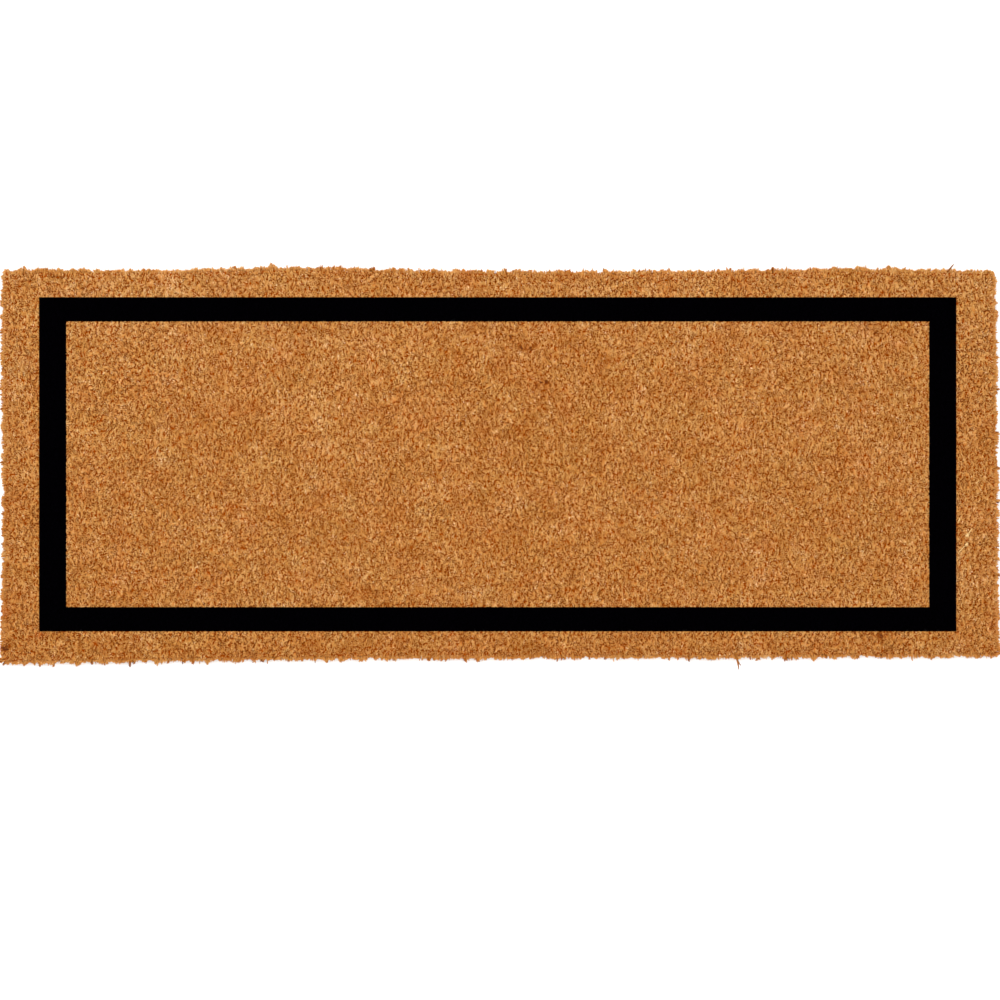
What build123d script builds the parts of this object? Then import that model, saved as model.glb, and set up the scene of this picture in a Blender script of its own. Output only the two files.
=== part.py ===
from build123d import *
import os

# A coir door mat lying flat, in millimetres. +X runs along its long side towards the right end,
# +Y across it towards the back edge, and +Z up. The origin is on the floor, under its centre.

# Driving sizes
MAT_LENGTH = 1200.0  # along X, over the fibre tips
MAT_WIDTH = 470.0  # along Y, over the fibre tips
BACKING_THICKNESS = 3.0  # the vinyl sheet that holds the tufts
PILE_HEIGHT = 12.0  # from the top of the vinyl to the sheared tips
FIBRE_OVERHANG = 3.0  # how far the outermost fibres lean out past the vinyl's cut edge
BACKING_CORNER_RADIUS = 2.0
LEFT_MARGIN = 44.7  # natural pile outside the black border, on each of the four sides
RIGHT_MARGIN = 49.6
FRONT_MARGIN = 34.1
BACK_MARGIN = 33.4
END_BAR_WIDTH = 32.4  # the black border along the left and right ends
SIDE_BAR_WIDTH = 28.8  # the black border along the front and back sides

# Levels and plan lines that follow from them, from the mat's edges inwards
PILE_BOTTOM = BACKING_THICKNESS
MAT_LEFT = -MAT_LENGTH / 2
MAT_RIGHT = MAT_LENGTH / 2
MAT_FRONT = -MAT_WIDTH / 2
MAT_BACK = MAT_WIDTH / 2
BORDER_LEFT = MAT_LEFT + LEFT_MARGIN
BORDER_RIGHT = MAT_RIGHT - RIGHT_MARGIN
BORDER_FRONT = MAT_FRONT + FRONT_MARGIN
BORDER_BACK = MAT_BACK - BACK_MARGIN
FIELD_LEFT = BORDER_LEFT + END_BAR_WIDTH
FIELD_RIGHT = BORDER_RIGHT - END_BAR_WIDTH
FIELD_FRONT = BORDER_FRONT + SIDE_BAR_WIDTH
FIELD_BACK = BORDER_BACK - SIDE_BAR_WIDTH
TIP_CORNER_RADIUS = BACKING_CORNER_RADIUS + FIBRE_OVERHANG


def pile_block(left, right, front, back):
    """A stretch of pile between four plan lines, from the vinyl up to the sheared tips."""
    base = Rectangle(right - left, back - front)
    centre = Pos((left + right) / 2, (front + back) / 2, PILE_BOTTOM)
    return centre * extrude(base, PILE_HEIGHT)


def vinyl_backing():
    """The vinyl sheet under all of the pile, a little smaller than the mat is over its tips."""
    length = MAT_LENGTH - 2 * FIBRE_OVERHANG
    width = MAT_WIDTH - 2 * FIBRE_OVERHANG
    outline = RectangleRounded(length, width, BACKING_CORNER_RADIUS)
    return extrude(outline, BACKING_THICKNESS)


def field_pile():
    """The natural pile inside the black border."""
    return pile_block(FIELD_LEFT, FIELD_RIGHT, FIELD_FRONT, FIELD_BACK)


def border_side_bar(front, back):
    """A black bar along a long side of the mat, which takes in both corners of the border."""
    return pile_block(BORDER_LEFT, BORDER_RIGHT, front, back)


def border_end_bar(left, right):
    """A black bar along an end of the mat, between the two side bars."""
    return pile_block(left, right, FIELD_FRONT, FIELD_BACK)


def whole_pile():
    """All of the pile in one block, over the fibre tips, with the mat's four corners rounded."""
    outline = RectangleRounded(MAT_LENGTH, MAT_WIDTH, TIP_CORNER_RADIUS)
    return Pos(0, 0, PILE_BOTTOM) * extrude(outline, PILE_HEIGHT)


def margin_side_strip(front, back):
    """Natural pile outside the border along a long side, as far as the mat's rounded corners."""
    return pile_block(MAT_LEFT, MAT_RIGHT, front, back) & whole_pile()


def margin_end_strip(left, right):
    """Natural pile outside the border along an end, between the two side strips."""
    return pile_block(left, right, BORDER_FRONT, BORDER_BACK) & whole_pile()


NODES = {
    "vinyl_backing": vinyl_backing(),
    "field_pile": field_pile(),
    "border_front": border_side_bar(BORDER_FRONT, FIELD_FRONT),
    "border_back": border_side_bar(FIELD_BACK, BORDER_BACK),
    "border_left": border_end_bar(BORDER_LEFT, FIELD_LEFT),
    "border_right": border_end_bar(FIELD_RIGHT, BORDER_RIGHT),
    "margin_front": margin_side_strip(MAT_FRONT, BORDER_FRONT),
    "margin_back": margin_side_strip(BORDER_BACK, MAT_BACK),
    "margin_left": margin_end_strip(MAT_LEFT, BORDER_LEFT),
    "margin_right": margin_end_strip(BORDER_RIGHT, MAT_RIGHT),
}

os.makedirs("parts", exist_ok=True)
for name, shape in NODES.items():
    export_step(shape, f"parts/{name}.step")
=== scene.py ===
import math

import bpy
import numpy as np
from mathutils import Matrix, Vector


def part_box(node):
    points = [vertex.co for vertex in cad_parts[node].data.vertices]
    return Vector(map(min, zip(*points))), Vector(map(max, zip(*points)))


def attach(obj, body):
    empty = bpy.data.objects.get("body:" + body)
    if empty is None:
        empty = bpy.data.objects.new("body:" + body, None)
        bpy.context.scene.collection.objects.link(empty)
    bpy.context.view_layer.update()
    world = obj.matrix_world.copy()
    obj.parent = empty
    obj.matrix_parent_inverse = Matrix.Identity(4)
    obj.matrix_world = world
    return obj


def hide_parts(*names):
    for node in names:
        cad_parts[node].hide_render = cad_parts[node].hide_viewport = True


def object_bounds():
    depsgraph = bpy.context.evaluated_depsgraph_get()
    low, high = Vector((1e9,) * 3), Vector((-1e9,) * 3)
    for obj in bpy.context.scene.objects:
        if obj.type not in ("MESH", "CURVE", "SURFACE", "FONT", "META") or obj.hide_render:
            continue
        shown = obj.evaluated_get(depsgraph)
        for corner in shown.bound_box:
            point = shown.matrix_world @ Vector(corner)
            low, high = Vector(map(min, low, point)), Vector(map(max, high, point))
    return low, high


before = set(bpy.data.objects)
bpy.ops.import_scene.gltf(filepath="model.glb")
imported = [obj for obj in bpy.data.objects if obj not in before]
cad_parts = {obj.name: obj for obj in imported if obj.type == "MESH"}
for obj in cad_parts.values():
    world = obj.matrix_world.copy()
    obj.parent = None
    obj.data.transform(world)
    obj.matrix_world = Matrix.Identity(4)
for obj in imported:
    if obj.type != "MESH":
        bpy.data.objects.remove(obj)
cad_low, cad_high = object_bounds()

# A coir door mat, in metres, in the CAD frame: +X along the mat, +Y across it and +Z up.
# Every fibre of the pile is a bent, three-sided tube with a blunt, sheared tip. It stands for
# several of the real mat's fibres, which are finer and stick together.

MM = 0.001
TINY = 1e-9  # keeps a division by a length from failing where that length is 0

# ---------------------------------------------------------------- places that come from the frame
FIELD_LOW, FIELD_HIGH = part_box("field_pile")
BORDER_LOW = (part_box("border_left")[0].x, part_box("border_front")[0].y)
BORDER_HIGH = (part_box("border_right")[1].x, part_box("border_back")[1].y)
VINYL_LOW, VINYL_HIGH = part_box("vinyl_backing")
OVERHANG = cad_high.x - VINYL_HIGH.x  # how far the CAD's pile blocks reach past the vinyl
PILE_FLOOR = VINYL_HIGH.z
PILE_TOP = cad_high.z

# ---------------------------------------------------------------- sizes of the pile
FIBRE_SPACING = 1.44 * MM
ROW_SHARE = 0.87  # how far rows of fibres are apart, as a share of the spacing: a triangular grid
FIBRE_JITTER = 0.25  # how unevenly fibres stand on the grid, as a share of the spacing
FIBRE_RADIUS = 0.67 * MM
RADIUS_SPREAD = 0.22  # of the radius's logarithm
TAPER = [(0, 1), (0.7, 1), (1, 0.78)]  # place along the fibre, and its share of the radius there
WAVER = 0.30 * MM  # how far a fibre bends out of the plane that it leans in
PILE_RISE = (0, 0.60, 1)  # the levels of a fibre's rings, as shares of its height
PILE_SLIDE = (0, 0.20, 1)  # how far over it leans at each ring
PILE_SWAY = (0, 1, -0.6)  # and how far it wavers
CLUMP = 2.6 * MM  # about the width of a clump of fibres that lean alike
CLUMP_STRETCH = 1.55  # how much longer clumps and gaps are across the mat than along it
LEAN_X = 1.0 * MM  # how far a clump's tips stand off their roots along the mat, and across it
LEAN_Y = 1.6 * MM
LEAN_SPREAD = 0.20 * MM  # how far one fibre's lean differs from its clump's
GAP_SPACING = 6.0 * MM  # between the dark gaps where the clumps part
GAP_JITTER = 0.22  # how unevenly the gaps lie, as a share of their spacing
GAP_RADIUS = (0.7 * MM, 2.6 * MM)  # the least and the most
GAP_RARITY = 1.8  # a power: above 1, small gaps are commoner than large ones
SHEAR_SPREAD = 0.35 * MM  # how unevenly the tips are cut
EDGE_DROP = 0.8 * MM  # how much lower the tips are at the cut edge
ROOT_LEVEL = 10.5 * MM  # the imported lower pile, which the free part of a fibre stands out of
ROOT_BUMP = 0.7 * MM
SUNK, SUNK_SPREAD = 1.2 * MM, 0.5  # how deep a fibre starts in it, and the spread in millimetres
PLANTED = 0.4 * MM  # how deep a full-length fibre starts in the vinyl
EDGE_WIDTH = 9 * MM  # fibres this near to the cut edge lean outwards, and the outermost the most
EDGE_BEND = 1.6  # a power: above 1, the lean dies away quickly at first
LEAN_LOST = 0.75  # the share of its clump's lean that a fibre loses at the edge itself
FRINGE_WIDTH = 3.0 * MM  # the outermost fibres, which are seen from the side at full length
FRINGE_PER_METRE = 4200
FRINGE_CROWDING = 1.3  # a power: above 1, they stand closer together towards the edge
FRINGE_STEPS = 3  # how often each is moved towards its place, which is exact enough
FRINGE_REACH = (0.70, 1.05)  # how far out they lean, as shares of the edge's reach there
FRINGE_ASIDE = 0.7 * MM  # and how far along the edge
FRINGE_CUT = (0.2, 1.0)  # how far below the pile's top they end, in millimetres
SHORT_MOST, SHORT_RARITY = 8, 2.5  # and a few of them much further below: the most, and a power
FRINGE_RISE = (0, 0.40, 0.80, 1)
FRINGE_SLIDE = (0, 0.30, 0.75, 1)
FRINGE_SWAY = (0, 1, 0.3, -0.8)
STRAY_SHARE, STRAY_REACH = 0.006, (1.5, 4.5)  # a few reach further out, by these millimetres
BAND_FIBRES = 13600  # at most, in one piece

# The cut edges wander a few millimetres outwards (+) or inwards (-), at even steps along each side.
FRONT_WANDER = [5.6, 2.8, 0.6, -0.8, -1.4, -1.2, -2.6, -3.0]
BACK_WANDER = [0.8, -0.4, 3.2, 0.2, -1.8, -1.0, 1.6, -0.6]
LEFT_WANDER = [2.4, -0.6, -0.4, 1.0, 0.6]
RIGHT_WANDER = [3.0, 0.8, 0.0, -0.6, -2.4]
CORNER_RADIUS = 6 * MM
LEAST_RADIUS = 1 * MM  # of a corner, however far it is inset

# ---------------------------------------------------------------- seeds of the random draws
DRAWS_SEED = 2024  # the fibres, one by one
BROAD_TONE_SEED, TONE_SEED, REDNESS_SEED = 31, 32, 33  # and smooth noises over the plan
LEAN_X_SEED, LEAN_Y_SEED, CLUMP_TONE_SEED = 41, 42, 44
EDGE_WIDE_SEED, EDGE_NARROW_SEED, TUFT_SEED = 43, 45, 47
ROOT_BUMP_SEED, ROOT_SWELL_SEED = 51, 52

NOISE_GRID = 640  # random values along each side of a smooth noise's square grid
NOISE_MARGIN = 12  # of them, beyond the mat's front left corner
NOISE_GAIN = 1.35  # makes up for the spread that is lost between the grid's values


def ease(share):
    """A share from 0 to 1, changed so that it starts and stops gently."""
    return share * share * (3 - 2 * share)


def smooth_noise(seed, x, y, cell):
    """Smooth noise over the plan with a spread of about one, and hills about cell apart."""
    grid = np.random.default_rng(seed).normal(size=(NOISE_GRID, NOISE_GRID))
    last = NOISE_GRID - 3
    u = np.clip((np.asarray(x) - cad_low.x) / cell + NOISE_MARGIN, 0, last)
    v = np.clip((np.asarray(y) - cad_low.y) / cell + NOISE_MARGIN, 0, last)
    i, j = u.astype(int), v.astype(int)
    s, t = ease(u - i), ease(v - j)
    near = grid[i, j] * (1 - s) + grid[i + 1, j] * s
    far = grid[i, j + 1] * (1 - s) + grid[i + 1, j + 1] * s
    return (near * (1 - t) + far * t) * NOISE_GAIN


def clump_noise(seed, x, y):
    """Smooth noise that is about one clump wide along the mat, and longer across it."""
    return smooth_noise(seed, x, y / CLUMP_STRETCH, CLUMP)


def wander(offsets, along):
    """The cut's offset at a place along a side, from 0 to 1, smooth between even steps."""
    at = np.clip(along, 0, 1) * (len(offsets) - 1)
    i = np.minimum(at.astype(int), len(offsets) - 2)
    s = ease(at - i)
    table = np.array(offsets) * MM
    return table[i] * (1 - s) + table[i + 1] * s


def cut_lines(along, across):
    """Where the left, right, front and back cut edges run, at shares along and across the mat."""
    left = cad_low.x - wander(LEFT_WANDER, across)
    right = cad_high.x + wander(RIGHT_WANDER, across)
    front = cad_low.y - wander(FRONT_WANDER, along)
    back = cad_high.y + wander(BACK_WANDER, along)
    return left, right, front, back


def edge_distance(x, y, inset):
    """How far inside the mat's outline a place is, once inset, and which way is outwards there."""
    across = (y - cad_low.y) / (cad_high.y - cad_low.y)
    along = (x - cad_low.x) / (cad_high.x - cad_low.x)
    left, right, front, back = cut_lines(along, across)
    left, right = x - left - inset, right - x - inset
    front, back = y - front - inset, back - y - inset
    a, b = np.minimum(left, right), np.minimum(front, back)
    side_x, side_y = np.where(left < right, -1.0, 1.0), np.where(front < back, -1.0, 1.0)
    radius = max(CORNER_RADIUS - inset, LEAST_RADIUS)
    p, q = np.maximum(radius - a, 0), np.maximum(radius - b, 0)
    corner = (p > 0) & (q > 0)
    reach = np.hypot(p, q)
    depth = np.where(corner, radius - reach, np.minimum(a, b))
    out_x = np.where(corner, p / np.maximum(reach, TINY), a < b) * side_x
    out_y = np.where(corner, q / np.maximum(reach, TINY), a >= b) * side_y
    return depth, out_x, out_y


# ---------------------------------------------------------------- camera, lights and floor
FRAMED = 1.2055  # metres across the picture, at the level of the tips
CAMERA_X, CAMERA_Y = 0.0003, -0.0427
LENS, SENSOR = 135, 36  # in millimetres
CLIPPED = (0.05, 60)  # what lies nearer or further than this isn't drawn
SKY = 0.95
LIGHT_SIZE = 2.0
LIGHTS = [("key", (-0.2, 0.5, 3.0), 88), ("fill", (0.8, -0.9, 2.8), 12)]  # name, place and watts
FLOOR_REACH = 15.0
FLOOR_LEVEL = -0.3 * MM  # a hair below the vinyl, so that the two don't share a plane
FLOOR_GREY = 0.92


def make_camera():
    """Straight down from above, a little in front of the mat's middle."""
    data = bpy.data.cameras.new("camera")
    data.lens = LENS
    data.sensor_width = SENSOR
    camera = bpy.data.objects.new("camera", data)
    camera.location = (CAMERA_X, CAMERA_Y, PILE_TOP + FRAMED * data.lens / data.sensor_width)
    camera.rotation_euler = (0, 0, 0)
    data.clip_start, data.clip_end = CLIPPED
    bpy.context.scene.collection.objects.link(camera)
    bpy.context.scene.camera = camera


def make_light(name, place, watts):
    """A soft square studio light that points at the middle of the mat."""
    data = bpy.data.lights.new(name, "AREA")
    data.shape = "SQUARE"
    data.size = LIGHT_SIZE
    data.energy = watts
    light = bpy.data.objects.new(name, data)
    light.location = place
    toward = -light.location.normalized()
    light.rotation_euler = toward.to_track_quat("-Z", "Y").to_euler()
    light.visible_camera = False
    bpy.context.scene.collection.objects.link(light)


def make_world():
    """Even white light from all round."""
    world = bpy.data.worlds.new("studio")
    world.use_nodes = True
    sky = world.node_tree.nodes["Background"].inputs
    sky["Color"].default_value = (1, 1, 1, 1)
    sky["Strength"].default_value = SKY
    bpy.context.scene.world = world


def make_floor():
    """A plain pale floor, much wider than the mat."""
    half, level = FLOOR_REACH, FLOOR_LEVEL
    mesh = bpy.data.meshes.new("floor")
    corners = [(-half, -half, level), (half, -half, level), (half, half, level), (-half, half, level)]
    mesh.from_pydata(corners, [], [(0, 1, 2, 3)])
    floor = bpy.data.objects.new("floor", mesh)
    bpy.context.scene.collection.objects.link(floor)
    material = bpy.data.materials.new("floor_white")
    material.use_nodes = True
    shader = material.node_tree.nodes["Principled BSDF"]
    shader.inputs["Base Color"].default_value = (FLOOR_GREY, FLOOR_GREY, FLOOR_GREY, 1)
    shader.inputs["Roughness"].default_value = 0.9
    shader.inputs["Specular IOR Level"].default_value = 0.1
    mesh.materials.append(material)


make_camera()
make_world()
for light_name, light_place, light_watts in LIGHTS:
    make_light(light_name, light_place, light_watts)
make_floor()
bpy.context.scene.view_settings.view_transform = "Standard"


# ---------------------------------------------------------------- materials
class Nodes:
    """Short ways to add nodes to a material's tree."""

    def __init__(self, name):
        self.material = bpy.data.materials.new(name)
        self.material.use_nodes = True
        self.tree = self.material.node_tree
        self.shader = self.tree.nodes["Principled BSDF"]

    def put(self, socket, value):
        if isinstance(value, bpy.types.NodeSocket):
            self.tree.links.new(value, socket)
        else:
            socket.default_value = value

    def math(self, operation, a, b=0.0, clamp=False):
        node = self.tree.nodes.new("ShaderNodeMath")
        node.operation = operation
        node.use_clamp = clamp
        self.put(node.inputs[0], a)
        self.put(node.inputs[1], b)
        return node.outputs[0]

    def mix(self, factor, a, b, blend="MIX"):
        node = self.tree.nodes.new("ShaderNodeMix")
        node.data_type = "RGBA"
        node.blend_type = blend
        self.put(node.inputs["Factor"], factor)
        self.put(node.inputs[6], a)  # this, 7 and output 2 are the node's sockets for colours
        self.put(node.inputs[7], b)
        return node.outputs[2]

    def ramp(self, value, stops):
        node = self.tree.nodes.new("ShaderNodeValToRGB")
        self.put(node.inputs[0], value)
        while len(node.color_ramp.elements) < len(stops):
            node.color_ramp.elements.new(0.5)
        for element, (place, colour) in zip(node.color_ramp.elements, stops):
            element.position = place
            element.color = (*colour, 1)
        return node.outputs[0]

    def noise(self, place, scale, detail=2.0):  # scale is in hills to a metre
        node = self.tree.nodes.new("ShaderNodeTexNoise")
        self.put(node.inputs["Vector"], place)
        node.inputs["Scale"].default_value = scale
        node.inputs["Detail"].default_value = detail
        return node.outputs["Fac"]

    def place(self):
        return self.tree.nodes.new("ShaderNodeTexCoord").outputs["Object"]

    def split(self, vector):
        node = self.tree.nodes.new("ShaderNodeSeparateXYZ")
        self.put(node.inputs[0], vector)
        return node.outputs

    def attribute(self, name):
        node = self.tree.nodes.new("ShaderNodeAttribute")
        node.attribute_name = name
        return node.outputs

    def roughen(self, value, spread, base):
        rough = self.math("ADD", self.math("MULTIPLY", value, spread), base)
        self.put(self.shader.inputs["Roughness"], rough)

    def bump(self, height, distance, strength):
        node = self.tree.nodes.new("ShaderNodeBump")
        node.inputs["Distance"].default_value = distance
        node.inputs["Strength"].default_value = strength
        self.put(node.inputs["Height"], height)
        self.put(self.shader.inputs["Normal"], node.outputs[0])


BLACK_DYE = (0.0006, 0.0004, 0.0009, 1)
DYE_BLEED = 0.25 * MM  # how far the dye spreads past the border's lines
DYE_SOFTNESS = 0.33 * MM  # across which it fades out
DYE_UNEVEN = 1.0 * MM  # how far its edge strays, in all
DYE_NOISE = 700.0  # the scale of that straying
DYE_FOOT = 1.5 * MM  # it fades in over this much of the pile, upwards from the vinyl

COIR_TONES = [
    (0.00, (0.12, 0.033, 0.008)),
    (0.16, (0.35, 0.118, 0.014)),
    (0.30, (0.465, 0.203, 0.041)),
    (0.55, (0.55, 0.290, 0.084)),
    (0.80, (0.63, 0.390, 0.155)),
    (1.00, (0.74, 0.540, 0.310)),
]
RED_HUSK = (0.98, 0.70, 0.68, 1)  # what the colour of a fully red fibre is multiplied by
ROOT_PAINTED_SHADE = (1.00, 0.54, 0.12, 1)  # and that of a fibre's foot, among the others: painted shade deep in the pile
FLECK_NOISE, FLECK_TONE = 900.0, 0.25  # small changes of tone along a fibre
COIR_ROUGHNESS = 0.72

# painted shade: the lower pile is coir coloured dark, for the shade deep between the fibres
ROOT_SHADE_TONES = [
    (0.30, (0.20, 0.030, 0.0008)),
    (0.55, (0.29, 0.055, 0.0022)),
    (0.75, (0.37, 0.090, 0.005)),
]
ROOT_NOISE = 650.0

VINYL_TONES = [(0.30, (0.014, 0.012, 0.011)), (0.70, (0.030, 0.025, 0.022))]
VINYL_CLOUDS = 35.0
WEAVE_PITCH = 1.6 * MM


def inside_rectangle(nodes, x, y, low, high, grow):
    """1 inside a plan rectangle that is grown a little, and 0 outside, with a soft edge."""
    gaps = []
    for place, least, most in ((x, low[0], high[0]), (y, low[1], high[1])):
        off = nodes.math("ABSOLUTE", nodes.math("SUBTRACT", place, (least + most) / 2))
        gaps.append(nodes.math("SUBTRACT", off, (most - least) / 2 + grow))
    gap = nodes.math("MAXIMUM", *gaps)
    return nodes.math("ADD", nodes.math("MULTIPLY", gap, -1 / DYE_SOFTNESS), 0.5, clamp=True)


def dye(nodes, place):
    """Where the black of the border lies: between its plan lines, and down into the pile."""
    x, y, z = nodes.split(place)
    rough = nodes.math("SUBTRACT", nodes.noise(place, DYE_NOISE), 0.5)
    x = nodes.math("ADD", x, nodes.math("MULTIPLY", rough, DYE_UNEVEN))
    y = nodes.math("ADD", y, nodes.math("MULTIPLY", rough, DYE_UNEVEN))
    outer = inside_rectangle(nodes, x, y, BORDER_LOW, BORDER_HIGH, DYE_BLEED)
    inner = inside_rectangle(nodes, x, y, FIELD_LOW, FIELD_HIGH, -DYE_BLEED)
    band = nodes.math("MULTIPLY", outer, nodes.math("SUBTRACT", 1.0, inner))
    depth = nodes.math("DIVIDE", nodes.math("SUBTRACT", z, PILE_FLOOR), DYE_FOOT, clamp=True)
    return nodes.math("MULTIPLY", band, depth)


def coir_material(name, gloss):
    """Coir fibre: each fibre has its own tone and redness, and painted shade makes it darker towards its
    root.
    """
    nodes = Nodes(name)
    place = nodes.place()
    fibre = nodes.attribute("fibre")["Vector"]
    tone, redness, height = nodes.split(fibre)
    fleck = nodes.math("SUBTRACT", nodes.noise(place, FLECK_NOISE), 0.5)
    fleck = nodes.math("MULTIPLY", fleck, FLECK_TONE)
    colour = nodes.ramp(nodes.math("ADD", tone, fleck, clamp=True), COIR_TONES)
    colour = nodes.mix(redness, colour, RED_HUSK, "MULTIPLY")
    # painted shade: the lower on the fibre, the darker and redder
    colour = nodes.mix(nodes.math("SUBTRACT", 1.0, height), colour, ROOT_PAINTED_SHADE, "MULTIPLY")
    nodes.put(nodes.shader.inputs["Base Color"], nodes.mix(dye(nodes, place), colour, BLACK_DYE))
    nodes.roughen(fleck, spread=0.4, base=COIR_ROUGHNESS)
    nodes.shader.inputs["Specular IOR Level"].default_value = gloss
    return nodes.material


def root_material():
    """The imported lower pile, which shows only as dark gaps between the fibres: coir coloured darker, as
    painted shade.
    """
    nodes = Nodes("coir_roots_painted_shade")
    place = nodes.place()
    streak = nodes.noise(place, ROOT_NOISE, detail=3.0)
    colour = nodes.ramp(streak, ROOT_SHADE_TONES)
    nodes.put(nodes.shader.inputs["Base Color"], nodes.mix(dye(nodes, place), colour, BLACK_DYE))
    nodes.roughen(streak, spread=0.2, base=0.75)
    nodes.shader.inputs["Specular IOR Level"].default_value = 0.0
    nodes.bump(streak, distance=0.6 * MM, strength=0.8)
    return nodes.material


def vinyl_material():
    """Black-brown flexible vinyl, with the fine weave of the belt that it was cured on."""
    nodes = Nodes("vinyl")
    place = nodes.place()
    x, y, _ = nodes.split(place)
    turn = 2 * math.pi / WEAVE_PITCH
    threads = [nodes.math("SINE", nodes.math("MULTIPLY", way, turn)) for way in (x, y)]
    weave = nodes.math("MULTIPLY", *threads)
    cloud = nodes.noise(place, VINYL_CLOUDS, detail=4.0)
    nodes.put(nodes.shader.inputs["Base Color"], nodes.ramp(cloud, VINYL_TONES))
    nodes.roughen(cloud, spread=0.25, base=0.45)
    nodes.bump(weave, distance=0.15 * MM, strength=0.5)
    return nodes.material


NATURAL = coir_material("natural_coir", gloss=0.08)
BLACK = coir_material("black_coir", gloss=0.0)
ROOTS = root_material()
VINYL = vinyl_material()


# ---------------------------------------------------------------- fibres
SIDES = 3
CELL_ACROSS = (0.1, 0.5, 0.9)  # where a fibre's three sides lie across its cell of the colour map
CELL_ALONG = (0.1, 0.9)  # and its foot and tip, along the cell
CELL_KINK = 0.15  # a shift that gives the two end caps some room of their own
SHADE_LIFT_WIDTH = 5 * MM  # fibres this near to the cut edge stand exposed, and get less painted shade with depth
SHADE_LIFT_MOST = 0.9  # the share of that painted shade which they lose at the edge itself


def unit(vectors):
    """The vectors at a length of one."""
    return vectors / np.maximum(np.linalg.norm(vectors, axis=-1, keepdims=True), TINY)


def make_mesh(name, points, faces, sizes, material):
    """A mesh from arrays: faces holds every face's corners in turn, and sizes how many each has."""
    mesh = bpy.data.meshes.new(name)
    mesh.vertices.add(len(points))
    mesh.vertices.foreach_set("co", points.astype(np.float32).ravel())
    mesh.loops.add(len(faces))
    mesh.loops.foreach_set("vertex_index", faces.astype(np.int32))
    mesh.polygons.add(len(sizes))
    starts = np.concatenate([[0], np.cumsum(sizes)[:-1]])
    mesh.polygons.foreach_set("loop_start", starts.astype(np.int32))
    mesh.polygons.foreach_set("use_smooth", np.ones(len(sizes), bool))
    mesh.materials.append(material)
    mesh.update(calc_edges=True)
    mesh.validate()
    piece = bpy.data.objects.new(name, mesh)
    bpy.context.scene.collection.objects.link(piece)
    return piece


def tube_faces(count, rings):
    """Corners and sizes of the faces of many closed tubes, with both ends capped."""
    side = np.arange(SIDES)
    ring = np.arange(rings - 1)[:, None] * SIDES
    around = (side + 1) % SIDES
    quads = np.stack([ring + side, ring + around, ring + SIDES + around, ring + SIDES + side], -1)
    last = (rings - 1) * SIDES
    one = np.concatenate([quads.ravel(), [0, 2, 1], [last, last + 1, last + 2]])
    sizes = np.array([4] * (SIDES * (rings - 1)) + [3, 3])
    start = np.arange(count)[:, None] * SIDES * rings
    return (start + one).ravel(), np.tile(sizes, count)


def bake_cells(count, rings):
    """Each fibre's own cell on the piece's colour map: across the fibre is u, and along it v."""
    across = math.ceil(math.sqrt(count))
    cell = np.arange(count)
    v = np.linspace(*CELL_ALONG, rings)[:, None] + np.zeros(SIDES)
    v[0, 1] += CELL_KINK
    v[-1, 1] -= CELL_KINK
    place_u = (cell % across)[:, None, None] + np.array(CELL_ACROSS)
    place_v = (cell // across)[:, None, None] + v
    both = np.broadcast_arrays(place_u, place_v)
    return np.stack(both, -1).reshape(-1, 2) / across


def tube_points(lines, radii, lean, roll):
    """Points round the centre lines: a ring at each of a line's points, turned by its roll."""
    count, rings, _ = lines.shape
    tangent = unit(np.gradient(lines, axis=1))
    flat = unit(np.stack([-lean[:, 1], lean[:, 0], np.zeros(count)], -1))[:, None, :]
    aside = unit(flat - (flat * tangent).sum(-1, keepdims=True) * tangent)
    up = np.cross(tangent, aside)
    angle = roll[:, None, None] + 2 * math.pi * np.arange(SIDES) / SIDES
    angle = np.broadcast_to(angle, (count, rings, SIDES))[..., None]
    spread = np.cos(angle) * aside[:, :, None, :] + np.sin(angle) * up[:, :, None, :]
    return (lines[:, :, None, :] + spread * radii[:, :, None, None]).reshape(-1, 3)


def fibre_piece(name, lines, radii, tone, redness, shade_lift, roll, lean, material):
    """One mesh of many fibres: their centre lines, thicknesses, colours and how exposed they stand, which
    spares them some painted shade.
    """
    count, rings, _ = lines.shape
    faces, sizes = tube_faces(count, rings)
    piece = make_mesh(name, tube_points(lines, radii, lean, roll), faces, sizes, material)
    # painted shade: height is 0 at the lower pile and 1 at the tips, and the material darkens a fibre more
    # the lower it is; fibres at the edge are spared some of it
    height = np.clip((lines[:, :, 2] - ROOT_LEVEL) / (PILE_TOP - ROOT_LEVEL), 0, 1)
    height = np.maximum(height, shade_lift[:, None])
    marks = np.ones((count, rings, SIDES, 4), np.float32)
    marks[..., 0] = tone[:, None, None]
    marks[..., 1] = redness[:, None, None]
    marks[..., 2] = height[:, :, None]
    layer = piece.data.color_attributes.new("fibre", "FLOAT_COLOR", "POINT")
    layer.data.foreach_set("color", marks.ravel())
    corners = np.empty(len(faces), np.int32)
    piece.data.loops.foreach_get("vertex_index", corners)
    cells = bake_cells(count, rings)[corners].astype(np.float32)
    piece.data.uv_layers.new(name="OFBake").data.foreach_set("uv", cells.ravel())
    return piece


# ---------------------------------------------------------------- colours of the fibres
MEAN_TONE = 0.50
CLUMP_TONE, FIBRE_TONE, FRINGE_TONE = 0.075, 0.03, 0.08  # how far each of these spreads round it
BROAD_TONE, BROAD_CELL = 0.015, 90 * MM  # of clouds of tone, large
CLOUD_TONE, CLOUD_CELL = 0.042, 16 * MM  # and small
BACK_LIGHT_TONE = 0.045  # painted light: tone added towards the back edge, and taken away towards the front, where less light falls
MEAN_REDNESS, RED_SPREAD = 0.15, 0.10
RED_CLOUDS, RED_CELL = 0.07, 20 * MM  # clouds of redness
STRAW_SHARE, STRAW_TONE = 0.05, 0.30  # how many fibres are pale straw, and how much paler

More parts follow.
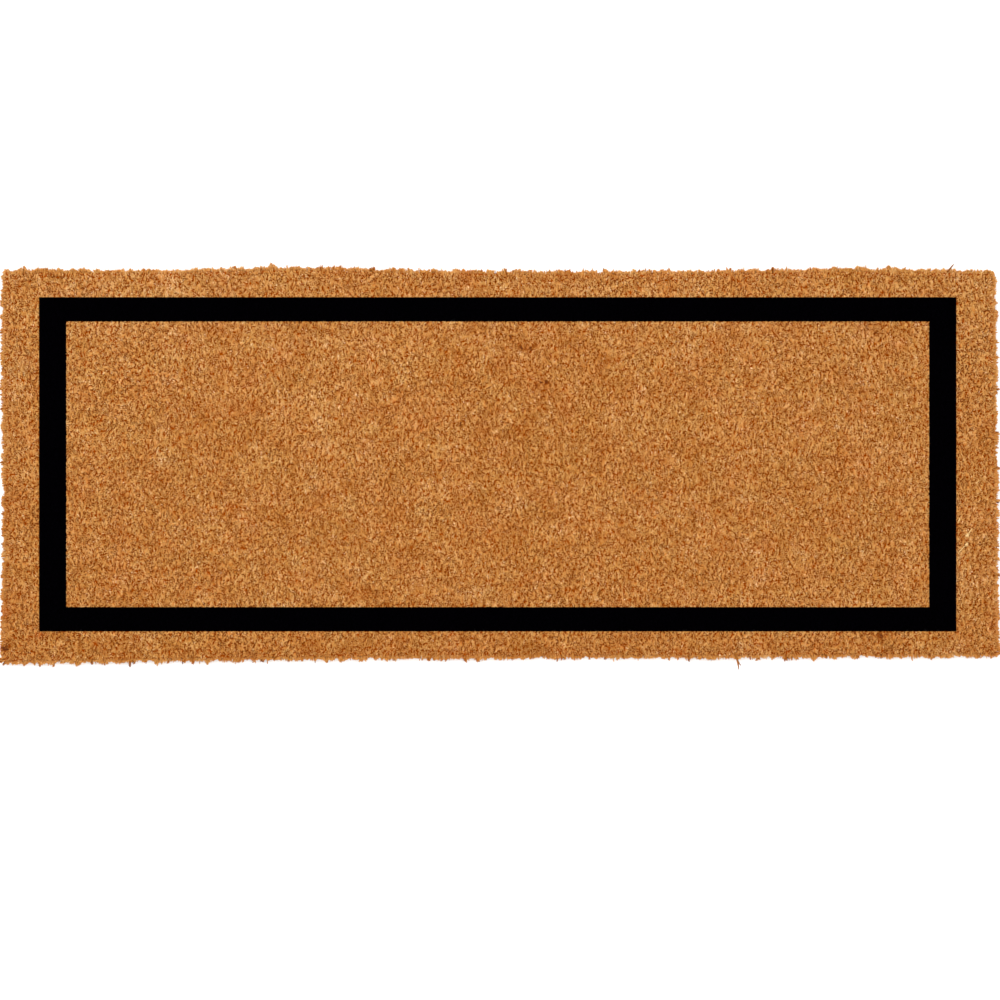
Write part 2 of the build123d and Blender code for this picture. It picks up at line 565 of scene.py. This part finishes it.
# Places where the fibres differ: x, y, reach along and across, tone added, redness added.
PATCHES = [
    (0.038, 0.120, 0.030, 0.034, -0.03, 0.14),  # a slightly redder patch, and its dark specks
    (0.014, 0.151, 0.004, 0.004, -0.50, 0.35),
    (0.027, 0.142, 0.005, 0.004, -0.60, 0.40),
    (0.037, 0.140, 0.004, 0.003, -0.60, 0.40),
    (0.044, 0.144, 0.004, 0.003, -0.46, 0.30),
    (0.043, 0.095, 0.003, 0.004, -0.50, 0.35),
    (0.050, 0.099, 0.003, 0.004, -0.55, 0.40),
    (0.058, 0.098, 0.004, 0.004, -0.60, 0.40),
    (-0.047, 0.049, 0.003, 0.004, -0.55, 0.30),  # other dark specks
    (0.460, -0.206, 0.003, 0.005, -0.60, 0.50),
    (-0.595, -0.221, 0.004, 0.004, -0.50, 0.40),
    (-0.595, -0.178, 0.005, 0.006, 0.00, 0.60),  # tufts of redder husk near the corners
    (-0.552, -0.206, 0.008, 0.003, 0.00, 0.70),
    (0.593, -0.194, 0.005, 0.008, 0.00, 0.50),
    (0.564, -0.090, 0.005, 0.012, 0.22, -0.10),  # and of paler straw in the margins
    (0.321, -0.229, 0.007, 0.005, 0.32, -0.10),
    (0.290, -0.222, 0.005, 0.008, 0.20, -0.10),
    (0.538, -0.225, 0.014, 0.005, 0.15, -0.05),
]


def fibre_tones(rng, x, y, clump_tone_and_shade):
    """Each fibre's tone, from dark brown at 0 to pale straw at 1, and its redness."""
    count = len(x)
    broad = BROAD_TONE * smooth_noise(BROAD_TONE_SEED, x, y, BROAD_CELL)
    broad = broad + CLOUD_TONE * smooth_noise(TONE_SEED, x, y, CLOUD_CELL)
    # painted light: paler towards the back edge and darker towards the front
    painted_back_light = BACK_LIGHT_TONE * y / cad_high.y
    tone = MEAN_TONE + clump_tone_and_shade + broad + painted_back_light + rng.normal(0, FIBRE_TONE, count)
    redness = MEAN_REDNESS + RED_CLOUDS * smooth_noise(REDNESS_SEED, x, y, RED_CELL)
    redness = redness + rng.normal(0, RED_SPREAD, count)
    tone = np.where(rng.random(count) < STRAW_SHARE, tone + STRAW_TONE, tone)
    for px, py, reach_x, reach_y, paler, redder in PATCHES:
        near = np.exp(-(((x - px) / reach_x) ** 2) - ((y - py) / reach_y) ** 2)
        tone = tone + paler * near
        redness = redness + redder * near
    return np.clip(tone, 0, 1), np.clip(redness, 0, 1)


# ---------------------------------------------------------------- how the fibres stand
def bent_lines(rng, x, y, start, top, lean, rise, slide, sway):
    """Centre lines that rise from start to top, bend over by lean and waver sideways a little."""
    rise, slide, sway = np.array(rise), np.array(slide)[:, None], np.array(sway)[:, None]
    waver = rng.normal(0, WAVER, len(x))
    aside = unit(np.stack([-lean[:, 1], lean[:, 0]], -1)) * waver[:, None]
    z = start[:, None] + (top - start)[:, None] * rise
    foot = np.stack([x, y], -1)[:, None, :]
    plan = foot + lean[:, None, :] * slide + aside[:, None, :] * sway
    return np.concatenate([plan, z[:, :, None]], -1)


EDGE_REACH = 0.5 * MM  # how far past the CAD's overhang the outermost tips reach, and its spread
EDGE_SPREAD = 1.1 * MM
EDGE_CLUMPS = [(0.7, EDGE_WIDE_SEED, 6.0 * MM), (0.8, EDGE_NARROW_SEED, 3.2 * MM)]  # share, seed, cell
EDGE_JITTER = 0.20 * MM  # how far one fibre's reach differs from its neighbours'
REACH_LIMITS = (0.5 * MM, 9 * MM)
TUFT_CELL, TUFT_LEVEL, TUFT_REACH = 2.4 * MM, 0.8, 2.4 * MM  # small tufts that stand out further
TUFT_SHADE, FRINGE_TUFT_SHADE = 0.30, 0.35  # and how much painted shade darkens them, on the pile and in the fringe
# Tufts that stand out of the back edge: x, half width and how far they stand out.
BACK_BUMPS = [(-0.277, 6.5 * MM, 3.8 * MM), (0.4735, 5.5 * MM, 3.4 * MM), (-0.310, 3.0 * MM, 2.0 * MM)]


def edge_tufts(x, y):
    """Small tufts, darkened with painted shade, that stand out of the cut edge here and there: 0 between
    them, 1 at most.
    """
    return np.clip(smooth_noise(TUFT_SEED, x, y, TUFT_CELL) - TUFT_LEVEL, 0, 1)


def edge_reach(rng, x, y):
    """How far out fibres lean at the cut edge, where they stand together in ragged clumps."""
    clump = sum(share * smooth_noise(seed, x, y, cell) for share, seed, cell in EDGE_CLUMPS)
    reach = OVERHANG + EDGE_REACH + EDGE_SPREAD * clump + rng.normal(0, EDGE_JITTER, len(x))
    reach = reach + TUFT_REACH * edge_tufts(x, y)
    for middle, half_width, extra in BACK_BUMPS:
        reach = reach + np.where(y > 0, extra * np.exp(-(((x - middle) / half_width) ** 2)), 0)
    return np.clip(reach, *REACH_LIMITS)


def edge_lean(rng, x, y, depth, out_x, out_y):
    """The outward lean of fibres near the cut edge, and a share that is 1 at the edge itself."""
    near = np.clip(1 - depth / EDGE_WIDTH, 0, 1) ** EDGE_BEND
    push = near * edge_reach(rng, x, y)
    return np.stack([out_x * push, out_y * push], -1), near


def part_at_gaps(rng, x, y, lean):
    """Leans the fibres whose tips would close a gap between tufts back to the gap's rim."""
    spare = 4  # rows of gaps beyond the mat on each side
    columns = int((cad_high.x - cad_low.x) / GAP_SPACING) + 2 * spare + 1
    rows = int((cad_high.y - cad_low.y) / GAP_SPACING) + 2 * spare + 1
    i, j = np.meshgrid(np.arange(columns), np.arange(rows), indexing="ij")
    first_x, first_y = cad_low.x - spare * GAP_SPACING, cad_low.y - spare * GAP_SPACING
    middle_x = first_x + (i + 0.5 * (j % 2) + rng.normal(0, GAP_JITTER, i.shape)) * GAP_SPACING
    middle_y = first_y + (j + rng.normal(0, GAP_JITTER, i.shape)) * GAP_SPACING
    least, most = GAP_RADIUS
    radius = least + (most - least) * rng.random(i.shape) ** GAP_RARITY
    tip_x, tip_y = x + lean[:, 0], y + lean[:, 1]
    near_i = np.clip(np.round((tip_x - first_x) / GAP_SPACING).astype(int), 1, columns - 2)
    near_j = np.clip(np.round((tip_y - first_y) / GAP_SPACING).astype(int), 1, rows - 2)
    for step_i in (-1, 0, 1):
        for step_j in (-1, 0, 1):
            gap = near_i + step_i, near_j + step_j
            off_x, off_y = tip_x - middle_x[gap], (tip_y - middle_y[gap]) / CLUMP_STRETCH
            reach = np.maximum(np.hypot(off_x, off_y), TINY)
            push = np.maximum(radius[gap] - reach, 0) / reach
            tip_x, tip_y = tip_x + off_x * push, tip_y + off_y * push * CLUMP_STRETCH
    return np.stack([tip_x - x, tip_y - y], -1)


def pile_feet(rng):
    """Where the pile's fibres stand: a jittered triangular grid over the whole mat and past it."""
    spare = 12 * MM
    columns = int((cad_high.x - cad_low.x + 2 * spare) / FIBRE_SPACING)
    rows = int((cad_high.y - cad_low.y + 2 * spare) / (FIBRE_SPACING * ROW_SHARE))
    i, j = (a.ravel() for a in np.meshgrid(np.arange(columns), np.arange(rows), indexing="ij"))
    off_x, off_y = (rng.normal(0, FIBRE_JITTER, len(i)) for _ in range(2))
    x = cad_low.x - spare + (i + 0.5 * (j % 2) + off_x) * FIBRE_SPACING
    y = cad_low.y - spare + (j * ROW_SHARE + off_y) * FIBRE_SPACING
    return x, y


def pile_fibres(rng):
    """The pile over the whole mat: fibres that lean alike within a clump, and out at the edge."""
    x, y = pile_feet(rng)
    depth, out_x, out_y = edge_distance(x, y, OVERHANG)
    kept = depth > 0
    x, y, depth, out_x, out_y = x[kept], y[kept], depth[kept], out_x[kept], out_y[kept]
    count = len(x)
    nap_x = clump_noise(LEAN_X_SEED, x, y) * LEAN_X
    nap_y = clump_noise(LEAN_Y_SEED, x, y) * LEAN_Y
    lean = np.stack([nap_x, nap_y], -1) + rng.normal(0, LEAN_SPREAD, (count, 2))
    lean = part_at_gaps(rng, x, y, lean)
    push, near = edge_lean(rng, x, y, depth, out_x, out_y)
    lean = lean * (1 - LEAN_LOST * near)[:, None] + push
    start = ROOT_LEVEL - SUNK + rng.uniform(-SUNK_SPREAD, SUNK_SPREAD, count) * MM
    start = np.where(depth < FRINGE_WIDTH, PILE_FLOOR - PLANTED, start)
    top = PILE_TOP - np.abs(rng.normal(0, SHEAR_SPREAD, count)) - EDGE_DROP * near ** 3
    lines = bent_lines(rng, x, y, start, top, lean, PILE_RISE, PILE_SLIDE, PILE_SWAY)
    tone = CLUMP_TONE * clump_noise(CLUMP_TONE_SEED, x + lean[:, 0], y + lean[:, 1])
    # painted shade: the tufts at the cut edge are darker
    return x, y, lines, lean, tone - TUFT_SHADE * near * edge_tufts(x, y)


def fringe_feet(rng):
    """Where the extra fibres of the outermost rows stand, and which way is outwards there."""
    width, depth = cad_high.x - cad_low.x, cad_high.y - cad_low.y
    count = int(2 * (width + depth) * FRINGE_PER_METRE)
    walk = rng.random(count) * 2 * (width + depth)
    sides = [walk < width, walk < width + depth, walk < 2 * width + depth]
    x = np.select(sides, [walk, width, 2 * width + depth - walk], 0.0) + cad_low.x
    y = np.select(sides, [0.0, walk - width, depth], 2 * (width + depth) - walk) + cad_low.y
    wanted = rng.random(count) ** FRINGE_CROWDING * FRINGE_WIDTH
    for _ in range(FRINGE_STEPS):
        gap, out_x, out_y = edge_distance(x, y, OVERHANG)
        x, y = x + out_x * (gap - wanted), y + out_y * (gap - wanted)
    return x, y, out_x, out_y


def fringe_fibres(rng):
    """Extra fibres in the outermost rows, at full length, with a few strays that reach out further."""
    x, y, out_x, out_y = fringe_feet(rng)
    count = len(x)
    reach = edge_reach(rng, x, y) * rng.uniform(*FRINGE_REACH, count)
    stray = rng.random(count) < STRAY_SHARE
    reach = np.where(stray, reach + rng.uniform(*STRAY_REACH, count) * MM, reach)
    aside = rng.normal(0, FRINGE_ASIDE, count)
    lean = np.stack([out_x * reach - out_y * aside, out_y * reach + out_x * aside], -1)
    start = np.full(count, PILE_FLOOR - PLANTED)
    short = rng.uniform(*FRINGE_CUT, count) * MM
    top = PILE_TOP - short - rng.random(count) ** SHORT_RARITY * SHORT_MOST * MM
    lines = bent_lines(rng, x, y, start, top, lean, FRINGE_RISE, FRINGE_SLIDE, FRINGE_SWAY)
    # painted shade: the fringe is darker at the tufts of the cut edge
    tone = rng.normal(0, FRINGE_TONE, count) - FRINGE_TUFT_SHADE * edge_tufts(x, y)
    return x, y, lines, lean, tone


def zone_of(x, y):
    """The CAD node that each place lies in, by the border's plan lines."""
    band = (x > BORDER_LOW[0]) & (x < BORDER_HIGH[0]) & (y > BORDER_LOW[1]) & (y < BORDER_HIGH[1])
    field = (x > FIELD_LOW.x) & (x < FIELD_HIGH.x) & (y > FIELD_LOW.y) & (y < FIELD_HIGH.y)
    sides = ["front", "back", "left"]
    border = np.select([y < FIELD_LOW.y, y > FIELD_HIGH.y, x < FIELD_LOW.x], sides, "right")
    margin = np.select([y < BORDER_LOW[1], y > BORDER_HIGH[1], x < BORDER_LOW[0]], sides, "right")
    ringed = np.where(band, np.char.add("border_", border), np.char.add("margin_", margin))
    return np.where(field, "field_pile", ringed)


def add_fibres(rng, suffix, x, y, lines, lean, clump_tone_and_shade):
    """Builds the fibres as pieces, node by node; a large node is several bands along the mat."""
    zones = zone_of(lines[:, -1, 0], lines[:, -1, 1])
    tone, redness = fibre_tones(rng, x, y, clump_tone_and_shade)
    taper = np.interp(np.linspace(0, 1, lines.shape[1]), *zip(*TAPER))
    radii = FIBRE_RADIUS * rng.lognormal(0, RADIUS_SPREAD, len(x))[:, None] * taper
    depth = edge_distance(x, y, OVERHANG)[0]
    shade_lift = SHADE_LIFT_MOST * np.clip(1 - depth / SHADE_LIFT_WIDTH, 0, 1)
    roll = rng.uniform(0, 2 * math.pi, len(x))
    each = (lines, radii, tone, redness, shade_lift, roll, lean)
    for zone in sorted(set(zones)):
        chosen = np.flatnonzero(zones == zone)
        bands = math.ceil(len(chosen) / BAND_FIBRES)
        chosen = chosen[np.argsort(y[chosen], kind="stable")]
        black = zone.startswith("border")
        for number, part in enumerate(np.array_split(chosen, bands), 1):
            name = f"{zone}_{suffix}" + (f"_{number}" if bands > 1 else "")
            piece = fibre_piece(name, *(values[part] for values in each), BLACK if black else NATURAL)
            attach(piece, "root")
            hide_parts(zone)


# Single strands that lie loose on the pile or stick out of its edge: where each starts and ends in
# plan, how far it bows sideways, its radius and its tone.
STRANDS = [
    ((0.2840, -0.2270), (0.2882, -0.2472), 0.5 * MM, 1.30 * MM, 0.10),  # forked, out of the front edge
    ((0.2850, -0.2330), (0.2910, -0.2427), -0.4 * MM, 0.90 * MM, 0.06),
    ((0.5400, 0.2320), (0.5475, 0.2416), 0.4 * MM, 1.20 * MM, 0.06),  # out of the back edge
    ((0.5530, -0.1064), (0.5622, -0.0972), 0.5 * MM, 0.85 * MM, 0.74),  # pale straw on the right margin
    ((0.5612, -0.0972), (0.5650, -0.0954), 0.3 * MM, 1.50 * MM, 0.82),
    ((0.5634, -0.0982), (0.5640, -0.0940), 0.3 * MM, 1.40 * MM, 0.80),
    ((0.5618, -0.0864), (0.5660, -0.0836), -0.3 * MM, 1.60 * MM, 0.82),
    ((0.5633, -0.0830), (0.5648, -0.0874), 0.3 * MM, 1.50 * MM, 0.82),
    ((0.5650, -0.0840), (0.5698, -0.0768), 0.4 * MM, 1.00 * MM, 0.72),
    ((0.5528, -0.0690), (0.5546, -0.0640), -0.3 * MM, 1.10 * MM, 0.74),
]


STRAND_LEVELS = np.array([-1.4, 0.0, 0.4, 0.3, -0.2]) * MM  # over the tips, from start to end
STRAND_TAPER = np.array([1.0, 1.0, 0.95, 0.8, 0.45])


def add_strands():
    """The listed loose strands, at the level of the tips."""
    start, end, bow, radius, tone = (np.array(column) for column in zip(*STRANDS))
    share = np.linspace(0, 1, len(STRAND_LEVELS))
    plan = start[:, None] + (end - start)[:, None] * share[:, None]
    aside = unit(np.stack([start[:, 1] - end[:, 1], end[:, 0] - start[:, 0]], -1))
    plan = plan + aside[:, None] * (bow[:, None] * np.sin(math.pi * share))[..., None]
    level = np.broadcast_to((PILE_TOP + STRAND_LEVELS)[:, None], (*plan.shape[:2], 1))
    lines = np.concatenate([plan, level], -1)
    radii = radius[:, None] * STRAND_TAPER
    none = np.zeros(len(bow))
    piece = fibre_piece("loose_strands", lines, radii, tone, none, none + 1, none + 0.5, end - start, NATURAL)
    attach(piece, "root")


# ---------------------------------------------------------------- packed lower pile and vinyl
ROOT_STEP = 3.0 * MM  # between the points of the slab's upper face
ROOT_INSET = 0.8 * MM  # of the slab, from the vinyl's edge
ROOT_CELL, ROOT_SWELL, ROOT_SWELL_CELL = 3.2 * MM, 0.5, 12 * MM
VINYL_STEP = 4 * MM  # between the points of the vinyl's edge
CORNER_STEPS = 7
VINYL_BOTTOM, VINYL_TOP = VINYL_LOW.z, VINYL_HIGH.z
VINYL_EDGE = [  # knife-cut, with both rims worn a little round: inset and level
    (0.5 * MM, VINYL_BOTTOM),
    (0.12 * MM, VINYL_BOTTOM + 0.15 * MM),
    (0, VINYL_BOTTOM + 0.5 * MM),
    (0, VINYL_TOP - 0.4 * MM),
    (0.3 * MM, VINYL_TOP),
]


def add_roots():
    """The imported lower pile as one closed, uneven slab on the vinyl, just inside the fringe."""
    inset = OVERHANG + ROOT_INSET
    columns = int((cad_high.x - cad_low.x) / ROOT_STEP)
    rows = int((cad_high.y - cad_low.y) / ROOT_STEP)
    s, t = np.meshgrid(np.linspace(0, 1, columns), np.linspace(0, 1, rows), indexing="ij")
    left, right, front, back = cut_lines(s, t)
    x = left + inset + (right - left - 2 * inset) * s
    y = front + inset + (back - front - 2 * inset) * t
    bump = smooth_noise(ROOT_BUMP_SEED, x, y, ROOT_CELL)
    bump = bump + ROOT_SWELL * smooth_noise(ROOT_SWELL_SEED, x, y, ROOT_SWELL_CELL)
    top = ROOT_LEVEL + ROOT_BUMP * np.clip(bump, -2, 2)
    upper = np.stack([x, y, top], -1).reshape(-1, 3)
    rim = np.concatenate([
        np.arange(columns) * rows,
        (columns - 1) * rows + np.arange(1, rows),
        np.arange(columns - 2, -1, -1) * rows + rows - 1,
        np.arange(rows - 2, 0, -1),
    ])
    lower = upper[rim] * (1, 1, 0) + (0, 0, PILE_FLOOR)
    i, j = np.meshgrid(np.arange(columns - 1), np.arange(rows - 1), indexing="ij")
    a = (i * rows + j).ravel()
    quads = np.stack([a, a + rows, a + rows + 1, a + 1], -1)
    down = len(upper) + np.arange(len(rim))
    walls = np.stack([rim, down, np.roll(down, -1), np.roll(rim, -1)], -1)
    faces = np.concatenate([quads.ravel(), walls.ravel(), down[::-1]])
    sizes = np.array([4] * (len(quads) + len(walls)) + [len(down)])
    piece = make_mesh("pile_roots", np.concatenate([upper, lower]), faces, sizes, ROOTS)
    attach(piece, "root")


def vinyl_outline(inset):
    """Points round the cut edge of the vinyl, anticlockwise from its front right corner."""
    radius = max(CORNER_RADIUS - OVERHANG, LEAST_RADIUS)
    width, depth = VINYL_HIGH.x - VINYL_LOW.x, VINYL_HIGH.y - VINYL_LOW.y
    turns = []
    for corner, (sx, sy) in enumerate([(1, -1), (1, 1), (-1, 1), (-1, -1)]):
        angle = np.linspace(-math.pi / 2, 0, CORNER_STEPS) + corner * math.pi / 2
        x = sx * (width / 2 - radius) + radius * np.cos(angle)
        y = sy * (depth / 2 - radius) + radius * np.sin(angle)
        turns.append(np.stack([x, y], -1))
    points = []
    for corner, here in enumerate(turns):
        points.append(here)
        start, end = here[-1], turns[(corner + 1) % 4][0]
        share = np.linspace(0, 1, int(np.linalg.norm(end - start) / VINYL_STEP))[1:-1, None]
        points.append(start + (end - start) * share)
    plan = np.concatenate(points)
    along, across = plan[:, 0] / width + 0.5, plan[:, 1] / depth + 0.5
    shift_x = wander(RIGHT_WANDER, across) * along - wander(LEFT_WANDER, across) * (1 - along)
    shift_y = wander(BACK_WANDER, along) * across - wander(FRONT_WANDER, along) * (1 - across)
    moved = plan + np.stack([shift_x, shift_y], -1)
    tangent = unit(np.roll(moved, -1, 0) - np.roll(moved, 1, 0))
    inwards = np.stack([-tangent[:, 1], tangent[:, 0]], -1)
    return moved + inwards * inset


def add_vinyl():
    """The vinyl sheet: a ring of points at each level of its edge, closed below and above."""
    rings = []
    for inset, level in VINYL_EDGE:
        outline = vinyl_outline(inset)
        rings.append(np.column_stack([outline, np.full(len(outline), level)]))
    count = len(rings[0])
    here, after = np.arange(count), (np.arange(count) + 1) % count
    lower = [k * count for k in range(len(rings) - 1)]
    walls = [np.stack([k + here, k + after, k + count + after, k + count + here], -1) for k in lower]
    top = lower[-1] + count + here
    faces = np.concatenate([np.concatenate(walls).ravel(), here[::-1], top])
    sizes = np.array([4] * (count * len(lower)) + [count, count])
    piece = make_mesh("vinyl_sheet", np.concatenate(rings), faces, sizes, VINYL)
    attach(piece, "root")
    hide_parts("vinyl_backing")


rng = np.random.default_rng(DRAWS_SEED)
add_fibres(rng, "fibres", *pile_fibres(rng))
add_fibres(rng, "fringe", *fringe_fibres(rng))
add_strands()
add_roots()
add_vinyl()
